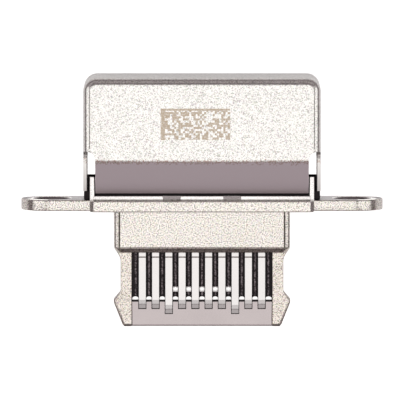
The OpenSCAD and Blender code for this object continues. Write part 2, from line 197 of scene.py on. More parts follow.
class Solid:
    """A closed mesh under construction, in millimetres."""

    def __init__(self, mesh: bmesh.types.BMesh) -> None:
        """Keeps a mesh, which this solid owns from here on."""
        self.mesh = mesh

    @classmethod
    def prism(cls, outline: Outline, axis: Axis, start: float, end: float) -> "Solid":
        """Extrudes a closed outline.

        Args:
            outline: The outline's points.
            axis: The direction of the extrusion.
            start: Where it begins.
            end: Where it ends.

        Returns:
            The solid.
        """
        mesh = bmesh.new()
        cap = mesh.faces.new([mesh.verts.new(axis.point(start, u, v)) for u, v in outline])
        grown = bmesh.ops.extrude_face_region(mesh, geom=[cap])["geom"]
        moved = [part for part in grown if isinstance(part, bmesh.types.BMVert)]
        bmesh.ops.translate(mesh, verts=moved, vec=axis.point(end - start, 0, 0))
        bmesh.ops.recalc_face_normals(mesh, faces=mesh.faces[:])
        return cls(mesh)

    @classmethod
    def box(cls, low: Sequence[float], high: Sequence[float]) -> "Solid":
        """Makes a box.

        Args:
            low: Its lowest corner.
            high: Its highest corner.

        Returns:
            The solid.
        """
        mesh = bmesh.new()
        bmesh.ops.create_cube(mesh, size=1)
        size = Vector(high) - Vector(low)
        bmesh.ops.scale(mesh, verts=mesh.verts[:], vec=size)
        bmesh.ops.translate(mesh, verts=mesh.verts[:], vec=Vector(low) + size / 2)
        return cls(mesh)

    @classmethod
    def slab(cls, x: float, width: float, y: Sequence[float], z: Sequence[float]) -> "Solid":
        """Makes a box with x in the middle of its width, between its two ends along Y and along Z."""
        return cls.box((x - width / 2, min(y), min(z)), (x + width / 2, max(y), max(z)))

    @classmethod
    def crease(cls, x: float, top: float, width: float, depth: float, y: tuple[float, float]) -> "Solid":
        """Makes what is cut away for a V-shaped crease along Y.

        Args:
            x: The middle of its width.
            top: The Z of the face it is cut into.
            width: Its width at that face.
            depth: Its depth.
            y: Its two ends.

        Returns:
            The solid.
        """
        past = width / 2 * (1 + CUT_PAST / depth)
        outline = [(x, top - depth), (x + past, top + CUT_PAST), (x - past, top + CUT_PAST)]
        return cls.prism(outline, Axis.Y, min(y), max(y))

    @classmethod
    def turned(cls, profile: Outline, centre: tuple[float, float], segments: int) -> "Solid":
        """Spins a profile about a line along Y.

        Args:
            profile: Radius and Y of the points, from one end of the line to the other.
            centre: X and Z of the line.
            segments: The number of facets round it.

        Returns:
            The solid.
        """
        mesh = bmesh.new()
        points = [mesh.verts.new((centre[0] + radius, y, centre[1])) for radius, y in profile]
        edges = [mesh.edges.new(pair) for pair in zip(points, points[1:])]
        bmesh.ops.spin(
            mesh, geom=points + edges, cent=(centre[0], 0, centre[1]), axis=(0, 1, 0),
            angle=2 * math.pi, steps=segments, use_merge=True,
        )
        bmesh.ops.remove_doubles(mesh, verts=mesh.verts[:], dist=MERGE_MM)
        open_edges = [edge for edge in mesh.edges if edge.is_boundary]
        bmesh.ops.holes_fill(mesh, edges=open_edges)
        bmesh.ops.recalc_face_normals(mesh, faces=mesh.faces[:])
        return cls(mesh)

    @classmethod
    def gathered(cls, solids: Iterable["Solid"]) -> "Solid":
        """Puts solids that lie apart from each other in one mesh.

        Args:
            solids: The solids, which are used up.

        Returns:
            The one solid.
        """
        mesh = bmesh.new()
        for solid in solids:
            carrier = bpy.data.meshes.new("carrier")
            solid.mesh.to_mesh(carrier)
            solid.mesh.free()
            mesh.from_mesh(carrier)
            bpy.data.meshes.remove(carrier)
        return cls(mesh)

    def copied(self, matrix: Matrix) -> "Solid":
        """Copies this solid and moves the copy.

        Args:
            matrix: The move. A mirror is allowed.

        Returns:
            The copy.
        """
        mesh = self.mesh.copy()
        bmesh.ops.transform(mesh, matrix=matrix, verts=mesh.verts[:])
        bmesh.ops.recalc_face_normals(mesh, faces=mesh.faces[:])
        return Solid(mesh)

    def both(self, axis: Axis) -> "Solid":
        """Adds the mirror image across the plane through the origin that is square to an axis."""
        normal = axis.point(1, 0, 0)
        return Solid.gathered([self.copied(Matrix.Scale(-1, 4, normal)), self])

    def combined(self, other: "Solid", joining: Joining) -> "Solid":
        """Combines this solid with another one. Both are used up.

        Args:
            other: The other solid.
            joining: The way.

        Returns:
            The result, with its flat faces merged.
        """
        holders = []
        for solid in (self, other):
            mesh = bpy.data.meshes.new("holder")
            solid.mesh.to_mesh(mesh)
            solid.mesh.free()
            holders.append(linked("holder", mesh))
        modifier = holders[0].modifiers.new("combine", "BOOLEAN")
        modifier.operation = joining.value
        modifier.solver = "EXACT"
        modifier.use_self = True
        modifier.object = holders[1]
        graph = bpy.context.evaluated_depsgraph_get()
        result = bpy.data.meshes.new_from_object(holders[0].evaluated_get(graph))
        mesh = bmesh.new()
        mesh.from_mesh(result)
        bpy.data.meshes.remove(result)
        for holder in holders:
            used = holder.data
            bpy.data.objects.remove(holder)
            bpy.data.meshes.remove(used)
        bmesh.ops.remove_doubles(mesh, verts=mesh.verts[:], dist=MERGE_MM)
        bmesh.ops.dissolve_limit(mesh, angle_limit=FLAT_ANGLE, verts=mesh.verts[:], edges=mesh.edges[:])
        return Solid(mesh)

    def joined(self, *others: "Solid") -> "Solid":
        """Unites this solid with others.

        Args:
            others: The solids to add.

        Returns:
            The united solid.
        """
        made = self
        for other in others:
            made = made.combined(other, Joining.UNION)
        return made

    def cut(self, *others: "Solid") -> "Solid":
        """Takes others away from this solid.

        Args:
            others: The solids to take away.

        Returns:
            What is left.
        """
        made = self
        for other in others:
            made = made.combined(other, Joining.DIFFERENCE)
        return made

    def softened(self, width: float, segments: int, where: EdgeTest = lambda edge: True) -> "Solid":
        """Rounds the edges.

        Args:
            width: How far each rounding reaches from its edge.
            segments: The number of facets across it.
            where: Says which of the sharp edges are rounded.

        Returns:
            This solid.
        """
        edges = [
            edge for edge in self.mesh.edges
            if len(edge.link_faces) == 2 and edge.calc_face_angle() > EDGE_ANGLE and where(edge)
        ]
        bmesh.ops.bevel(
            self.mesh, geom=edges, offset=width, offset_type="OFFSET", segments=segments,
            profile=0.5, affect="EDGES", clamp_overlap=True, material=-1,
        )
        return self

    def merged(self, distance: float) -> "Solid":
        """Merges the points that lie close to each other.

        Args:
            distance: The distance below which they are merged.

        Returns:
            This solid.
        """
        bmesh.ops.remove_doubles(self.mesh, verts=self.mesh.verts[:], dist=distance)
        bmesh.ops.dissolve_degenerate(self.mesh, dist=distance / 2, edges=self.mesh.edges[:])
        return self

    def divided(self, axis: Axis, *places: float) -> "Solid":
        """Divides the faces along planes, so that shading stays even on the long ones.

        Args:
            axis: The planes' normal.
            places: Where the planes lie.

        Returns:
            This solid.
        """
        for place in places:
            everything = self.mesh.verts[:] + self.mesh.edges[:] + self.mesh.faces[:]
            bmesh.ops.bisect_plane(
                self.mesh, geom=everything, dist=MERGE_MM, plane_co=axis.point(place, 0, 0),
                plane_no=axis.point(1, 0, 0),
            )
        return self

    def narrowed(self, axis: Axis, at: float, by: float, scale: tuple[float, float]) -> "Solid":
        """Extrudes the end face and scales it, as a chamfer all round.

        Args:
            axis: The axis of the end face's normal.
            at: Where the end face lies.
            by: How far it is extruded.
            scale: The scale of the outline's two axes.

        Returns:
            This solid.
        """
        along = axis.value
        cap = [face for face in self.mesh.faces if abs(face.calc_center_median()[along] - at) < MERGE_MM]
        grown = bmesh.ops.extrude_face_region(self.mesh, geom=cap)["geom"]
        bmesh.ops.delete(self.mesh, geom=cap, context="FACES_ONLY")
        moved = [part for part in grown if isinstance(part, bmesh.types.BMVert)]
        bmesh.ops.translate(self.mesh, verts=moved, vec=axis.point(by, 0, 0))
        bmesh.ops.scale(self.mesh, verts=moved, vec=axis.point(1, *scale))
        bmesh.ops.recalc_face_normals(self.mesh, faces=self.mesh.faces[:])
        return self

    def written(self, name: str, sharp: float) -> bpy.types.Mesh:
        """Writes the mesh out in metres, smooth but for its sharp edges.

        Args:
            name: The mesh's name.
            sharp: The angle from which an edge stays sharp.

        Returns:
            The mesh. This solid is used up.
        """
        bmesh.ops.recalc_face_normals(self.mesh, faces=self.mesh.faces[:])
        mesh = bpy.data.meshes.new(name)
        self.mesh.to_mesh(mesh)
        self.mesh.free()
        mesh.transform(Matrix.Scale(MM, 4))
        mesh.shade_smooth()
        mesh.set_sharp_from_angle(angle=sharp)
        return mesh


class Graph:
    """A short way to fill a node tree."""

    def __init__(self, tree: bpy.types.NodeTree) -> None:
        """Empties the tree that is to be filled."""
        self.tree = tree
        tree.nodes.clear()

    def node(
        self, kind: str, inputs: dict[str | int, object] | None = None, **settings: object
    ) -> bpy.types.Node:
        """Adds a node.

        Args:
            kind: The node's type.
            inputs: Values or sockets for its inputs, by name or by place.
            settings: Its properties.

        Returns:
            The node.
        """
        made = self.tree.nodes.new(kind)
        for name, value in settings.items():
            setattr(made, name, value)
        for name, value in (inputs or {}).items():
            socket = made.inputs[name]
            if isinstance(value, Socket):
                self.tree.links.new(value, socket)
            else:
                socket.default_value = value
        return made

    def math(self, operation: str, *values: float | Socket) -> Socket:
        """Adds a math node with these inputs and gives its output."""
        return self.node("ShaderNodeMath", dict(enumerate(values)), operation=operation).outputs[0]

    def mix(
        self, mixing: Mixing, factor: float | Socket, first: object, second: object, blend_type: str = "MIX"
    ) -> Socket:
        """Mixes two values.

        Args:
            mixing: The kind of data that they are.
            factor: The share of the second.
            first: The first value.
            second: The second value.
            blend_type: The way in which they mix.

        Returns:
            The mixed value.
        """
        low, high, out = mixing.value
        inputs = {0: factor, low: first, high: second}
        return self.node("ShaderNodeMix", inputs, data_type=mixing.name, blend_type=blend_type).outputs[out]

    def blend(
        self, factor: float | Socket, first: Color | Socket, second: Color | Socket, blend_type: str = "MIX"
    ) -> Socket:
        """Mixes two colours, with the factor as the share of the second."""
        first, second = (c if isinstance(c, Socket) else (*c, 1.0) for c in (first, second))
        return self.mix(Mixing.RGBA, factor, first, second, blend_type)

    def ramp(self, factor: Socket, stops: Sequence[tuple[float, Color]]) -> Socket:
        """Adds a colour ramp.

        Args:
            factor: Where on the ramp each point lies.
            stops: Places and colours, in order.

        Returns:
            The colour.
        """
        made = self.node("ShaderNodeValToRGB", {0: factor})
        elements = made.color_ramp.elements
        for place, _ in stops[2:]:
            elements.new(place)
        for element, (place, color) in zip(elements, stops):
            element.position = place
            element.color = (*color, 1.0)
        return made.outputs[0]

    def place(self) -> Socket:
        """Gives where a point of the object lies, in millimetres."""
        metres = self.node("ShaderNodeTexCoord").outputs["Object"]
        return self.node("ShaderNodeVectorMath", {0: metres, "Scale": 1 / MM}, operation="SCALE").outputs[0]

    def noise(self, place: Socket, size: float, detail: Detail) -> bpy.types.Node:
        """Adds a noise whose cells have the given size in millimetres."""
        return self.node("ShaderNodeTexNoise", {"Vector": place, "Scale": 1 / size, "Detail": detail.value})

    def spread(
        self, value: Socket, low: float, high: float, lowest: float = 0.0, interpolation: str = "LINEAR"
    ) -> Socket:
        """Spreads a range of values so that it reaches up to 1.

        Args:
            value: The value.
            low: The range's lower end.
            high: Its upper end.
            lowest: What the lower end becomes.
            interpolation: The way from one end to the other.

        Returns:
            The new value.
        """
        return self.node("ShaderNodeMapRange", {
            "Value": value, "From Min": low, "From Max": high, "To Min": lowest,
        }, interpolation_type=interpolation).outputs[0]

    def within(self, value: Socket, low: float, high: float) -> Socket:
        """Gives 1 where the value lies between two limits, and 0 elsewhere."""
        above = self.math("GREATER_THAN", value, low)
        return self.math("MULTIPLY", above, self.math("LESS_THAN", value, high))


@dataclass(frozen=True)
class Finish:
    """A finish: metal or moulding with a fine grain. The sizes are in millimetres."""

    name: str
    color: Color
    roughness: float
    metallic: float = 1.0
    specular: float = 0.5
    grain: float = 0.05
    relief: float = 0.0015
    speckle: float = 0.1  # how strong the dark specks are
    speckle_stops: tuple[tuple[float, Color], ...] = ((0.34, (0.26, 0.25, 0.24)), (0.53, (1.0, 1.0, 1.0)))
    fleck: float = 0.7  # the specks' size, as a share of the grain's
    hue_size: float = 1.2  # the coloured specks' size, as a share of the grain's
    hue: float = 0.24  # how strong they are, as a share of the dark ones
    tone_size: float = 1.2
    tone: float = 0.06  # how far the slow change of tone goes
    # painted shade: an occlusion node darkens the colour in the narrow gaps, where shade falls
    painted_shade_reach: float = 0.06  # how near a crevice's walls are that darken the colour as painted shade
    painted_shade_range: tuple[float, float] = (0.35, 0.85)
    painted_shade_floor: float = 0.25
    painted_shade_samples: int = 8

    def material(self) -> bpy.types.Material:
        """Makes the material, or gives the one that is already made.

        Returns:
            The material.
        """
        made = bpy.data.materials.get(self.name)
        if made is None:
            made = bpy.data.materials.new(self.name)
            made.use_nodes = True
            self.fill(Graph(made.node_tree))
            LOG.info("finish %s", self.name)
        return made

    def fill(self, graph: Graph) -> None:
        """Fills the material's tree.

        Args:
            graph: The tree.
        """
        place = graph.place()
        color = self.colored(graph, place, self.speckle)
        normal = self.bumped(graph, place, self.relief)
        self.shade(graph, color, self.roughness, normal)

    def colored(self, graph: Graph, place: Socket, speckle: float | Socket) -> Socket:
        """Adds the colour with its speckle, its slow change of tone and its painted shade in the narrow gaps.

        Args:
            graph: The tree.
            place: The place in millimetres.
            speckle: The strength of the speckle.

        Returns:
            The colour.
        """
        fine = graph.noise(place, self.grain * self.fleck, Detail.TWO)
        slow = graph.noise(place, self.tone_size, Detail.TWO)
        shade = graph.math("MULTIPLY_ADD", slow.outputs["Fac"], -2 * self.tone, 1 + self.tone)
        dark = graph.ramp(fine.outputs["Fac"], self.speckle_stops)
        base = graph.blend(speckle, self.color, dark, "MULTIPLY")
        hue = graph.noise(place, self.grain * self.hue_size, Detail.NONE)
        share = graph.math("MULTIPLY", speckle, self.hue)
        tinted = graph.blend(share, base, hue.outputs["Color"], "OVERLAY")
        # the slow tone times the painted shade of the narrow gaps
        tone_and_painted_shade = graph.math("MULTIPLY", shade, self.painted_crevice_shade(graph))
        level = graph.node("ShaderNodeCombineColor", {"Red": tone_and_painted_shade, "Green": tone_and_painted_shade, "Blue": tone_and_painted_shade})
        return graph.blend(1.0, tinted, level.outputs[0], "MULTIPLY")

    def painted_crevice_shade(self, graph: Graph) -> Socket:
        """Gives the painted shade: how much of the colour is left at each point, which is less in the narrow
        gaps, where shade falls.

        Args:
            graph: The tree.

        Returns:
            The share.
        """
        near = graph.node(
            "ShaderNodeAmbientOcclusion", {"Distance": self.painted_shade_reach * MM}, samples=self.painted_shade_samples
        )
        return graph.spread(near.outputs["AO"], *self.painted_shade_range, lowest=self.painted_shade_floor)

    def bumped(self, graph: Graph, place: Socket, relief: float) -> Socket:
        """Adds the grain's relief.

        Args:
            graph: The tree.
            place: The place in millimetres.
            relief: The height of the grain in millimetres.

        Returns:
            The normal.
        """
        grain = graph.noise(place, self.grain, Detail.ONE)
        return graph.node("ShaderNodeBump", {
            "Strength": 1.0, "Distance": relief * MM, "Height": grain.outputs["Fac"],
        }).outputs[0]

    def shade(self, graph: Graph, color: Socket, roughness: float | Socket, normal: Socket) -> None:
        """Adds the shader and the output.

        Args:
            graph: The tree.
            color: The base colour.
            roughness: The roughness.
            normal: The normal.
        """
        shader = graph.node("ShaderNodeBsdfPrincipled", {
            "Base Color": color, "Metallic": self.metallic, "Roughness": roughness, "Normal": normal,
            "Specular IOR Level": self.specular,
        })
        graph.node("ShaderNodeOutputMaterial", {"Surface": shader.outputs[0]})


@dataclass(frozen=True)
class CanFinish(Finish):
    """The can's finish: blasted on its faces, smooth on its bent flap, whose colour is darkened to a mauve
    grey as painted shade, with a painted dark line standing for the shade along the flap's bend, and with a
    plain block of dots on top.
    """

    # painted shade: the sloping flap's colour is darkened to a mauve grey, standing for the shade that it
    # shows
    flap_painted_shade_color: Color = (0.73, 0.655, 0.695)
    flap_roughness: float = 0.28
    flap_relief: float = 0.1  # as a share of the faces'
    flap_y: float = 1.64
    flap_z: float = 1.1
    smooth_z: float = 1.05  # below it the can is rough all round
    ragged: float = 0.45  # how far the border of the smooth flap wanders
    ragged_size: float = 1.5  # as a share of the grain's
    # painted shade: a dark line along the flap's ragged border at its bend
    bend_shade_w: float = 0.04
    bend_shade_color: Color = (0.42, 0.27, 0.22)
    bend_shade_share: float = 1.2
    mark_low: tuple[float, float] = (-1.55, 2.70)
    mark_high: tuple[float, float] = (1.06, 3.885)
    mark_z: float = 1.45
    mark_cell: float = 0.08
    mark_cell_h: float = 10.0  # more than the can's height, so that the dots don't change along Z
    mark_color: Color = (0.42, 0.34, 0.26)
    mark_share: float = 0.52  # of the cells, at random
    worn_size: float = 1.3  # as a share of the grain's
    patchy: tuple[float, float] = (1.4, 0.15)  # what the worn grain counts for, and what is added

    def fill(self, graph: Graph) -> None:
        """Fills the material's tree.

        Args:
            graph: The tree.
        """
        place = graph.place()
        split = graph.node("ShaderNodeSeparateXYZ", {0: place})
        ragged = graph.noise(place, self.grain * self.ragged_size, Detail.ONE).outputs["Fac"]
        edge = graph.math("MULTIPLY_ADD", ragged, self.ragged, self.flap_y)
        behind = graph.math("GREATER_THAN", split.outputs[1], edge)
        rough = graph.math("MAXIMUM", behind, graph.math("LESS_THAN", split.outputs[2], self.smooth_z))
        # painted shade: above flap_z the flap takes its darkened mauve colour
        high = graph.math("GREATER_THAN", split.outputs[2], self.flap_z)
        front = graph.blend(high, self.color, self.flap_painted_shade_color)
        speckle = graph.math("MULTIPLY", rough, self.speckle)
        color = self.colored(graph, place, speckle)
        marked = graph.blend(self.marks(graph, place, split), color, self.mark_color)
        # painted shade: a dark line along the ragged border at the flap's bend
        bent = graph.math("COMPARE", split.outputs[1], edge, self.bend_shade_w)
        bend_shade = graph.math("MULTIPLY", graph.math("MULTIPLY", bent, ragged), self.bend_shade_share)
        whole = graph.blend(bend_shade, graph.blend(rough, front, marked), self.bend_shade_color)
        blasted = self.bumped(graph, place, self.relief)
        smooth = self.bumped(graph, place, self.relief * self.flap_relief)
        normal = graph.mix(Mixing.VECTOR, rough, smooth, blasted)
        difference = self.roughness - self.flap_roughness
        roughness = graph.math("MULTIPLY_ADD", rough, difference, self.flap_roughness)
        self.shade(graph, whole, roughness, normal)

    def marks(self, graph: Graph, place: Socket, split: bpy.types.Node) -> Socket:
        """Adds a block of meaningless dots.

        Args:
            graph: The tree.
            place: The place in millimetres.
            split: The place's three numbers.

        Returns:
            The share of the dots' colour.
        """
        size = (self.mark_cell, self.mark_cell, self.mark_cell_h)
        cell = graph.node("ShaderNodeVectorMath", {0: place, 1: size}, operation="SNAP")
        chance = graph.node("ShaderNodeTexWhiteNoise", {"Vector": cell.outputs[0]}, noise_dimensions="2D")
        dots = graph.math("LESS_THAN", chance.outputs["Value"], self.mark_share)
        x, y, z = split.outputs
        left = graph.math("LESS_THAN", x, self.mark_low[0] + 2 * self.mark_cell)
        top = graph.math("GREATER_THAN", y, self.mark_high[1] - self.mark_cell)
        filled = graph.math("MAXIMUM", dots, graph.math("MAXIMUM", left, top))
        for limit in (
            graph.within(x, self.mark_low[0], self.mark_high[0]),
            graph.within(y, self.mark_low[1], self.mark_high[1]),
            graph.math("GREATER_THAN", z, self.mark_z),
        ):
            filled = graph.math("MULTIPLY", filled, limit)
        grain = graph.noise(place, self.grain * self.worn_size, Detail.ONE).outputs["Fac"]
        return graph.math("MULTIPLY", filled, graph.math("MULTIPLY_ADD", grain, *self.patchy))


@dataclass(frozen=True)
class MouldingFinish(Finish):
    """The moulding's finish, with a painted highlight: a lighter tone in patches along the ribs between the
    contacts.
    """

    rib_low: float = 0.318
    rib_high: float = 0.36
    # painted highlight on the ribs' tops
    rib_highlight_color: Color = (0.36, 0.31, 0.33)
    spot_size: float = 2.0  # as a share of the grain's
    spot_range: tuple[float, float] = (0.4, 0.7)

    def fill(self, graph: Graph) -> None:
        """Fills the material's tree.

        Args:
            graph: The tree.
        """
        place = graph.place()
        height = graph.math("ABSOLUTE", graph.node("ShaderNodeSeparateXYZ", {0: place}).outputs[2])
        # painted highlight: a lighter tone in patches where the moulding stands at the ribs' height
        rib = graph.within(height, self.rib_low, self.rib_high)
        spots = graph.noise(place, self.grain * self.spot_size, Detail.ONE).outputs["Fac"]
        patchy = graph.spread(spots, *self.spot_range)
        share = graph.math("MULTIPLY", rib, patchy)
        color = graph.blend(share, self.colored(graph, place, self.speckle), self.rib_highlight_color)
        self.shade(graph, color, self.roughness, self.bumped(graph, place, self.relief))


BLASTED = Finish("blasted_metal", (0.87, 0.83, 0.785), 0.2, speckle=0.95, relief=0.0037, fleck=0.85)
# painted shade: a darker copy of the frame's metal for the arms
ARM = Finish("arm_painted_shade", (0.8, 0.74, 0.685), 0.2, speckle=0.95, relief=0.0037, fleck=0.85)
# painted light: a brighter copy of the frame's metal, with less painted shade in its gaps, for the faces
# behind the flange
BACK_PAINTED_LIGHT = Finish("back_painted_light", (0.95, 0.915, 0.91), 0.2, speckle=0.4, relief=0.002, painted_shade_reach=0.03)
# painted shade: a dark copy of the frame's metal for the screw holes' bores
BORE = Finish("bore_painted_shade", (0.22, 0.19, 0.2), 0.35, speckle=0.3, relief=0.001)
CAN = CanFinish("blasted_can", (0.9, 0.885, 0.865), 0.2, speckle=0.7, relief=0.004, fleck=0.8, painted_shade_reach=0.03)
SATIN = Finish("satin_plate", (0.735, 0.67, 0.675), 0.25, grain=0.03, relief=0.0002, speckle=0.05)
# near-white sheet metal; on the plate's pads and bumps it is a brighter copy of the plate's metal, a painted
# highlight
BRIGHT = Finish("bright_sheet_and_painted_highlight", (0.96, 0.96, 0.96), 0.2, grain=0.04, relief=0.0002, speckle=0.03)
PLATED = Finish("plated_contact", (0.74, 0.72, 0.72), 0.2, grain=0.04, relief=0.0003, speckle=0.06)
BLACK = MouldingFinish(
    "black_moulding", (0.03, 0.023, 0.026), 0.5, metallic=0.0, grain=0.03, relief=0.001, speckle=0.4,
    specular=0.15,
)


def make_piece(
    name: str, solid: Solid, finish: Finish, nodes: Sequence[str], sharp: float = SHARP_ANGLE
) -> bpy.types.Object:
    """Makes a piece that stands for CAD nodes.

    Args:
        name: The piece's name.
        solid: Its shape, which is used up.
        finish: Its finish.
        nodes: The CAD nodes that it stands for.
        sharp: The angle from which an edge stays sharp.

    Returns:
        The piece.
    """
    mesh = solid.written(name, sharp)
    mesh.materials.append(finish.material())
    piece = linked(name, mesh)
    weighted = piece.modifiers.new("weighted_normals", "WEIGHTED_NORMAL")
    weighted.keep_sharp = True
    weighted.weight = FLAT_WEIGHT
    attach(piece, "root")
    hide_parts(*nodes)
    for node in nodes:
        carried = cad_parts[node]
        carried.data.materials.clear()
        carried.data.materials.append(finish.material())
    LOG.info("piece %s: %d faces", name, len(mesh.polygons))
    return piece


@dataclass(frozen=True)
class Tongue:
    """The sizes that the frame, the plate, the contacts and the mouldings share."""

    thickness: float = 0.7
    length: float = 4.42
    gap: float = 5.3  # between the side arms
    collar_end_y: float = -1.42
    nose_end_y: float = -1.62
    bar_l: float = 1.15
    band_l: float = 0.94
    dip: float = 0.1  # from the contact faces down to the groove's floor
    drop: float = 0.04  # from the contact faces down to the bar's low end
    boss_y: float = 0.58
    plate_t: float = 0.15
    contact_w: float = 0.265
    finger_wall: float = 0.022  # round the contact ends, in the bar's pockets

    @property
    def tip_y(self) -> float:
        """Where the tongue ends."""
        return -self.length

    @property
    def bar_y(self) -> float:
        """Where the thick bar across the tip begins."""
        return self.tip_y + self.bar_l

    @property
    def band_y(self) -> float:
        """Where the smooth band on the bar begins."""
        return self.tip_y + self.band_l

    @property
    def top(self) -> float:
        """The Z of the contact faces."""
        return self.thickness / 2


@dataclass(frozen=True)
class FlangeFrame:
    """The frame: flange, boss, posts, collar and side arms in one metal piece."""

    tongue: Tongue
    flange_t: float = 0.42
    ear_r: float = 1.1465
    hole_pitch: float = 11.34
    hole_r: float = 0.7
    mid_w: float = 8.14
    mid_h: float = 3.5
    mid_chamfer: float = 0.13
    boss_h: float = 2.5
    notch_w: float = 0.67
    notch_pitch: float = 2.27
    notch_d: float = 0.08
    groove_w: float = 0.03
    groove_d: float = 0.08
    post_span: float = 8.43
    post_t: float = 0.17
    post_y: float = 1.3
    post_h: float = 2.3
    post_edge: float = 0.02
    collar_w: float = 6.64
    collar_h: float = 1.36
    collar_r: float = 0.2
    crease_x: float = 3.11
    crease_w: float = 0.07
    crease_d: float = 0.05
    nose_w: float = 6.4
    nose_h: float = 1.0
    root_t: float = 0.55
    waist_t: float = 0.42
    head_t: float = 0.68
    tip_t: float = 0.35
    root_l: float = 0.33
    flare_l: float = 0.31
    head_l: float = 0.9
    crown_l: float = 0.12
    corner: float = 0.07
    edge: float = 0.045
    arm_edge: float = 0.05
    head_edge: float = 0.07
    tip_edge: float = 0.1
    hole_edge: float = 0.06
    rounding: int = 5
    ear_steps: int = 48
    blend_steps: int = 8

    def flange(self) -> Solid:
        """Builds the plate with its two ears and its taller middle.

        Returns:
            The solid.
        """
        x, z = self.mid_w / 2 + self.mid_chamfer, self.mid_h / 2
        right = [(self.mid_w / 2, -z), (x, self.mid_chamfer - z), (x, -self.ear_r)]
        right += arc((self.hole_pitch / 2, 0), self.ear_r, -QUARTER, QUARTER, self.ear_steps)
        right += [(x, self.ear_r), (x, z - self.mid_chamfer), (self.mid_w / 2, z)]
        plate = Solid.prism(mirrored(right), Axis.Y, 0, self.flange_t)
        return plate.softened(self.edge, self.rounding, lambda edge: not self.along_y(edge))

    def boss(self) -> Solid:
        """Builds the low boss behind the flange, with its four shallow notches.

        Returns:
            The solid.
        """
        high, front, back = self.boss_h / 2, self.flange_t, self.tongue.boss_y
        boss = Solid.slab(0, self.mid_w, (front / 2, back), (-high, high))
        boss.softened(self.edge / 2, self.rounding)
        slope = [
            (front, high - self.notch_d / 2), (back + CUT_PAST, high - self.notch_d),
            (back + CUT_PAST, high + CUT_PAST), (front, high + CUT_PAST),
        ]
        near, far = (self.notch_pitch / 2 + side * self.notch_w / 2 for side in (-1, 1))
        notches = Solid.prism(slope, Axis.X, near, far).both(Axis.X).both(Axis.Z)
        groove = Solid.slab(
            0, self.mid_w + CUT_PAST, (front, front + self.groove_w), (high - self.groove_d, high + CUT_PAST)
        )
        return boss.cut(notches, groove.both(Axis.Z))

    def post(self) -> Solid:
        """Builds the right-hand post behind the boss.

        Returns:
            The solid.
        """
        x = self.post_span / 2 - self.post_t / 2
        y, z = (self.flange_t / 2, self.post_y), (-self.post_h / 2, self.post_h / 2)
        return Solid.slab(x, self.post_t, y, z).softened(self.post_edge, self.rounding)

    def collar(self) -> Solid:
        """Builds the collar with its rounded long edges and its chamfered nose.

        Returns:
            The solid.
        """
        tongue = self.tongue
        outline = rounded_rectangle(self.collar_w, self.collar_h, self.collar_r, self.blend_steps)
        body = Solid.prism(outline, Axis.Y, self.flange_t / 2, tongue.collar_end_y)
        scale = (self.nose_w / self.collar_w, self.nose_h / self.collar_h)
        body = body.narrowed(Axis.Y, tongue.collar_end_y, tongue.nose_end_y - tongue.collar_end_y, scale)
        ends = (0, tongue.nose_end_y)
        crease = Solid.crease(self.crease_x, self.collar_h / 2, self.crease_w, self.crease_d, ends)
        return body.softened(self.edge, self.rounding).cut(crease.both(Axis.X).both(Axis.Z))

    def arm(self) -> Solid:
        """Builds the right-hand arm beside the tongue.

        Returns:
            The solid.
        """
        tongue = self.tongue
        inner, tip_y, nose_y = tongue.gap / 2, tongue.tip_y, tongue.nose_end_y
        head_y = tip_y + self.head_l
        flare_y = head_y + self.crown_l
        shares = [i / self.blend_steps for i in range(self.blend_steps + 1)]
        outline = [(inner, tongue.collar_end_y), (inner + self.root_t, tongue.collar_end_y)]
        outline += [
            (inner + self.waist_t + (self.root_t - self.waist_t) * (1 - s) ** 2, nose_y - self.root_l * s)
            for s in shares
        ]
        outline += [
            (inner + self.waist_t, flare_y + self.flare_l),
            (inner + self.head_t, flare_y),
            (inner + self.head_t, head_y),
            (inner + self.tip_t, tip_y + self.corner),
            (inner + self.tip_t - self.corner, tip_y),
            (inner, tip_y),
        ]
        arm = Solid.prism(outline, Axis.Z, -tongue.top, tongue.top)
        arm.softened(self.head_edge, 1, self.round_head).softened(self.arm_edge, self.rounding, self.level)
        past_y, past_z, reach = tip_y - CUT_PAST, tongue.top + CUT_PAST, self.tip_edge + 2 * CUT_PAST
        wedge = [(past_y, past_z), (past_y, past_z - reach), (past_y + reach, past_z)]
        ends = (inner - CUT_PAST, inner + self.head_t)
        return arm.cut(Solid.prism(wedge, Axis.X, *ends).both(Axis.Z))

    def along_y(self, edge: bmesh.types.BMEdge) -> bool:
        """Says whether an edge runs through the flange."""
        return abs((edge.verts[0].co - edge.verts[1].co).y) > self.edge

    def level(self, edge: bmesh.types.BMEdge) -> bool:
        """Says whether an edge lies in one of the arm's broad faces."""
        return abs((edge.verts[0].co - edge.verts[1].co).z) < self.edge

    def round_head(self, edge: bmesh.types.BMEdge) -> bool:
        """Says whether an edge lies in a broad face of the arm and runs round its hooked head.

        Args:
            edge: The edge.

        Returns:
            True if it does.
        """
        tongue = self.tongue
        waist_y = tongue.tip_y + self.head_l + self.crown_l + self.flare_l
        outside = any(v.co.x > tongue.gap / 2 + MERGE_MM for v in edge.verts)
        return self.level(edge) and outside and all(v.co.y < waist_y + MERGE_MM for v in edge.verts)

    def hole(self) -> Solid:
        """Builds what is cut away for the right-hand screw hole, with its rounded rims.

        Returns:
            The solid.
        """
        r, e, t = self.hole_r, self.hole_edge, self.flange_t
        low = [(r + e - u, e - v) for u, v in arc((0, 0), e, QUARTER, 0, self.rounding)]
        rims = [(r + e, -CUT_PAST)] + low + [(u, t - y) for u, y in reversed(low)] + [(r + e, t + CUT_PAST)]
        return Solid.turned(rims, (self.hole_pitch / 2, 0), 2 * self.ear_steps)

